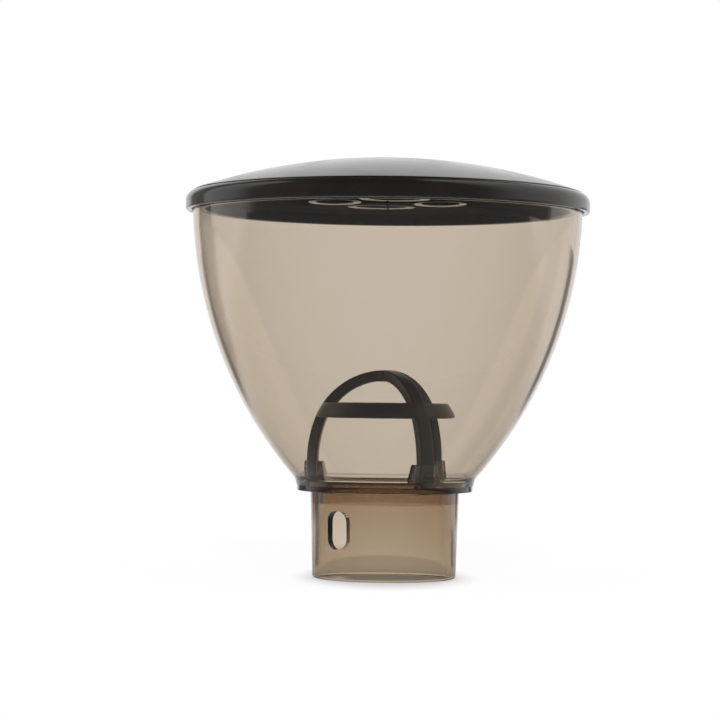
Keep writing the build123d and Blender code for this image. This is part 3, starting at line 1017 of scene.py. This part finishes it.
class HOPPER_OT_finger_guard(bpy.types.Operator):
    """Sweep the finger guard's arms and join them with its hub and hoop"""

    bl_idname = "hopper.finger_guard"
    bl_label = "Build the finger guard"

    def execute(self, context):
        guard, at = context.scene.hopper_guard, Levels(context.scene)
        body = context.scene.hopper_colours.guard
        finish = black_plastic("Guard plastic", body, gloss=0.3, grain=0.4, depth=0.02)
        arm = joined(self.arm(guard, at), self.nib(guard, at))
        obj = at_arms(arm, guard, finish)
        obj.name = "finger_guard_arms"
        obj = joined(obj, self.hub(guard, at, finish), selfed=True)
        obj = joined(obj, self.hoop(guard, at, finish))
        crisp(obj, GUARD_CREASE)
        placed(obj, "finger_guard")
        return {"FINISHED"}

    def arm(self, guard, at):
        """One arm: up the leg, round the blend and over the arch to just past the axis."""
        blend = acos((at.blend_r - at.leg_r) / (at.blend_r - at.arch_r))
        blend_z = at.arch_z - (at.blend_r - at.arch_r) * sin(blend)
        half = guard.thickness / 2
        leg_high = blend_z - at.leg_foot_z
        steps = [(at.leg_r - half, at.leg_foot_z + leg_high * i / LEG_STEPS, 0.0) for i in range(LEG_STEPS)]
        for i in range(BLEND_STEPS):
            turn = blend * i / BLEND_STEPS
            radius = at.blend_r - half
            steps.append((at.leg_r - at.blend_r + radius * cos(turn), blend_z + radius * sin(turn), turn))
        for i in range(ARCH_STEPS + 1):
            turn = blend + (radians(ARCH_END) - blend) * i / ARCH_STEPS
            radius = at.arch_r - half
            steps.append((radius * cos(turn), at.arch_z + radius * sin(turn), turn))
        foot = outline(guard.width * FOOT_SHARE, guard.thickness * FOOT_SHARE, guard.arm_round)
        full = outline(guard.width, guard.thickness, guard.arm_round)
        foot_r, foot_z, upright = steps[0]
        rings = [(foot, foot_r, foot_z, upright), (full, foot_r, foot_z + FOOT_TAPER, upright)]
        rings += [(full, *step) for step in steps[1:]]
        loops = [[(x, -(r + y * cos(t)), z + y * sin(t)) for x, y in ring] for ring, r, z, t in rings]
        return lofted("arm", loops)

    def nib(self, guard, at):
        """The snap nib on a leg's outer face."""
        middle = at.floor_z + guard.nib_z
        deep = guard.nib_proud + guard.nib_r
        corner = 0.75 * MM
        section = outline(deep, 2 * guard.nib_r, corner)
        centre = at.leg_r + guard.nib_proud - deep / 2
        ends = (-guard.nib_length / 2, guard.nib_length / 2)
        loops = [[(x, -(centre + y), middle + z) for y, z in section] for x in ends]
        return lofted("nib", loops)

    def hub(self, guard, at, finish):
        """The round hub where the arms meet."""
        under_r = at.arch_r - guard.thickness
        middle, corner = (0.0, at.arch_z), 0.4 * MM
        top = arc(middle, at.arch_r, degrees(acos(guard.hub_r / at.arch_r)), 90, ARC_STEPS["hub"])
        under = arc(middle, under_r, 90, degrees(acos(guard.hub_r / under_r)), ARC_STEPS["hub"])
        section = [(*top[0], corner), *top[1:], *under[:-1], (*under[-1], corner)]
        return turned("hub", divided(rounded(section)), finish)

    def hoop(self, guard, at, finish):
        """The conical hoop, flush with the outside of the arms."""
        high = at.guard_top_z - guard.hoop_drop
        low = high - guard.hoop_height
        inner = at.arch_r - guard.hoop_thickness
        low_angle = degrees(asin((low - at.arch_z) / at.arch_r))
        high_angle = degrees(asin((high - at.arch_z) / at.arch_r))
        proud = 0.02 * MM
        outside = arc((0.0, at.arch_z), at.arch_r + proud, low_angle, high_angle, ARC_STEPS["hoop"])
        section = [(*outside[0], guard.hoop_round), *outside[1:-1], (*outside[-1], guard.hoop_round)]
        for z in (high, low):
            section.append((sqrt(inner**2 - (z - at.arch_z) ** 2), z, guard.hoop_round))
        return turned("hoop", divided(rounded(section)), finish)


class HOPPER_OT_stage(bpy.types.Operator):
    """Set the pale floor, the soft lamps and the camera"""

    bl_idname = "hopper.stage"
    bl_label = "Set the stage"

    def execute(self, context):
        scene, studio = context.scene, context.scene.hopper_studio
        self.floor(studio)
        self.world(scene, studio)
        for name, towards, spread, setting in LAMPS:
            self.sun(name, towards, spread, getattr(studio, setting))
        self.camera(scene, studio)
        scene.view_settings.view_transform = "Standard"
        return {"FINISHED"}

    def looks(self, w):
        """Masks for rays that look straight, for those through something clear, and for mirrored ones."""
        path = w.add("ShaderNodeLightPath").outputs
        # Depths are whole numbers, so a half parts none from one
        half = 0.5
        fresh = w.maths("LESS_THAN", path["Diffuse Depth"], half)
        bounced = w.maths("GREATER_THAN", path["Glossy Depth"], half)
        shiny = w.maths("MAXIMUM", path["Is Glossy Ray"], path["Is Transmission Ray"])
        clear = w.maths("MULTIPLY", w.maths("SUBTRACT", 1.0, bounced), path["Is Transmission Ray"])
        mirrored = w.maths("MULTIPLY", bounced, shiny)
        return path["Is Camera Ray"], w.maths("MULTIPLY", clear, fresh), w.maths("MULTIPLY", mirrored, fresh)

    def floor(self, studio):
        """A wide pale floor that keeps the object's shadow."""
        turns = [2 * pi * i / FLOOR_CORNERS for i in range(FLOOR_CORNERS)]
        ring = [(FLOOR_RADIUS * cos(t), FLOOR_RADIUS * sin(t), 0.0) for t in turns]
        obj = mesh_object("studio_floor", ring, [tuple(range(FLOOR_CORNERS))])
        material, w, out = new_material("Pale floor")
        camera, clear, mirrored = self.looks(w)
        place = w.add("ShaderNodeTexCoord").outputs["Object"]
        sides = w.add("ShaderNodeSeparateXYZ", {0: place}).outputs
        azimuth = w.azimuth(sides)
        gap = 0.0
        for edges in FLOOR_GAPS:
            gap = w.maths("MAXIMUM", gap, w.band(azimuth, *edges))
        gap = w.maths("MULTIPLY", gap, w.ramp(w.distance(place), *GAP_DISTANCES, 0.0, GAP_DEPTH))
        lit = w.ramp(sides[1], *FLOOR_BRIGHTENS, studio.front, 1.0)
        lit = w.maths("MULTIPLY", lit, w.maths("SUBTRACT", 1.0, gap))
        near = w.distance(w.stretched(place, SHADOW_SQUEEZE))
        open_floor = w.ramp(near, *SHADOW_FADES, 0.0, OPEN_FLOOR)
        dimmed = w.maths("MULTIPLY", mirrored, w.maths("SUBTRACT", 1.0, lit))
        plain = w.add("ShaderNodeBsdfDiffuse", {"Color": (*studio.floor, 1.0)})
        white = w.add("ShaderNodeEmission", {"Color": WHITE, "Strength": w.maths("SUBTRACT", 1.0, dimmed)})
        through = w.maths("MULTIPLY", clear, WHITE_THROUGH_CLEAR)
        amount = w.maths("ADD", w.maths("MULTIPLY", camera, open_floor), through)
        amount = w.maths("ADD", amount, mirrored)
        blend = w.add("ShaderNodeMixShader", {0: amount, 1: plain.outputs[0], 2: white.outputs[0]})
        w.tree.links.new(blend.outputs[0], out.inputs["Surface"])
        obj.data.materials.append(material)

    def world(self, scene, studio):
        """White where it is looked at, plainer where it lights, and white walls where it is mirrored."""
        world = bpy.data.worlds.new("Studio")
        world.use_nodes = True
        world.node_tree.nodes.clear()
        w = Wiring(world.node_tree)
        camera, clear, mirrored = self.looks(w)
        straight = w.maths("ADD", camera, clear)
        lit = w.maths("SUBTRACT", 1.0, w.maths("ADD", straight, mirrored))
        strength = w.maths("ADD", straight, w.maths("MULTIPLY", lit, studio.world))
        strength = w.maths("ADD", strength, w.maths("MULTIPLY", mirrored, self.surround(w, studio)))
        light = w.add("ShaderNodeBackground", {"Color": WHITE, "Strength": strength})
        out = w.add("ShaderNodeOutputWorld")
        w.tree.links.new(light.outputs[0], out.inputs["Surface"])
        scene.world = world

    def surround(self, w, studio):
        """How bright the studio is in each direction: white walls behind and beside, dim in front."""
        ray = w.add("ShaderNodeSeparateXYZ", {0: w.add("ShaderNodeTexCoord").outputs["Generated"]}).outputs
        azimuth = w.azimuth(ray)
        rise = w.maths("DEGREES", w.maths("ARCSINE", ray[2]))
        total = w.ramp(w.maths("ABSOLUTE", azimuth), *DIMMING_AZIMUTHS, BETWEEN_WALLS, studio.dim)
        total = w.maths("MULTIPLY", total, w.ramp(rise, *DIMMING_RISES, 1.0, OVERHEAD_SHARE))
        for *edges, low, high in WHITE_WALLS:
            wall = w.band(azimuth, *edges)
            wall = w.maths("MULTIPLY", wall, w.ramp(rise, low, low + WALL_SOFTNESS))
            wall = w.maths("MULTIPLY", wall, w.ramp(rise, high - WALL_SOFTNESS, high, 1, 0))
            total = w.maths("MAXIMUM", total, wall)
        return total

    def sun(self, name, towards, spread, strength):
        """One soft lamp from that direction."""
        light = bpy.data.lights.new(name, "SUN")
        light.angle = radians(spread)
        light.energy = strength
        obj = bpy.data.objects.new(name, light)
        obj.location = towards
        obj.rotation_euler = Vector(towards).to_track_quat("Z", "Y").to_euler()
        obj.visible_glossy = False
        obj.visible_transmission = False
        bpy.context.scene.collection.objects.link(obj)

    def camera(self, scene, studio):
        """The camera, nearly level, at the photograph's viewing angle."""
        data = bpy.data.cameras.new("Camera")
        data.lens = studio.lens
        data.sensor_width = SENSOR_WIDTH
        data.clip_end = CLIP_END
        obj = bpy.data.objects.new("Camera", data)
        turn = Matrix.Rotation(radians(90) + studio.pitch, 4, "X") @ Matrix.Rotation(studio.roll, 4, "Z")
        obj.matrix_world = Matrix.Translation((studio.camera_x, -studio.distance, studio.camera_z)) @ turn
        scene.collection.objects.link(obj)
        scene.camera = obj


class HOPPER_PT_panel(bpy.types.Panel):
    """The hopper's builders, in the 3D view's sidebar"""

    bl_label = "Bean hopper"
    bl_idname = "HOPPER_PT_panel"
    bl_space_type = "VIEW_3D"
    bl_region_type = "UI"
    bl_category = "Hopper"

    def draw(self, context):
        for operator in OPERATORS:
            self.layout.operator(operator.bl_idname)


# Registering and running


SETTINGS = {
    "hopper_neck": NeckSizes,
    "hopper_bowl": BowlSizes,
    "hopper_lid": LidSizes,
    "hopper_guard": GuardSizes,
    "hopper_colours": FinishColours,
    "hopper_studio": StudioSettings,
}
OPERATORS = (
    HOPPER_OT_bowl,
    HOPPER_OT_lid,
    HOPPER_OT_liner,
    HOPPER_OT_neck_base,
    HOPPER_OT_finger_guard,
    HOPPER_OT_stage,
)


def register():
    """Registers the settings, the operators and the panel."""
    for cls in (*SETTINGS.values(), *OPERATORS, HOPPER_PT_panel):
        bpy.utils.register_class(cls)
    for name, cls in SETTINGS.items():
        setattr(bpy.types.Scene, name, PointerProperty(type=cls))


def unregister():
    """Takes the settings, the operators and the panel away again."""
    for name in SETTINGS:
        delattr(bpy.types.Scene, name)
    for cls in reversed((*SETTINGS.values(), *OPERATORS, HOPPER_PT_panel)):
        bpy.utils.unregister_class(cls)


def main():
    """Builds every piece and the stage."""
    register()
    bpy.ops.hopper.bowl()
    bpy.ops.hopper.lid()
    bpy.ops.hopper.liner()
    bpy.ops.hopper.neck_base()
    bpy.ops.hopper.finger_guard()
    bpy.ops.hopper.stage()
    bpy.context.view_layer.update()


if __name__ == "__main__":
    main()
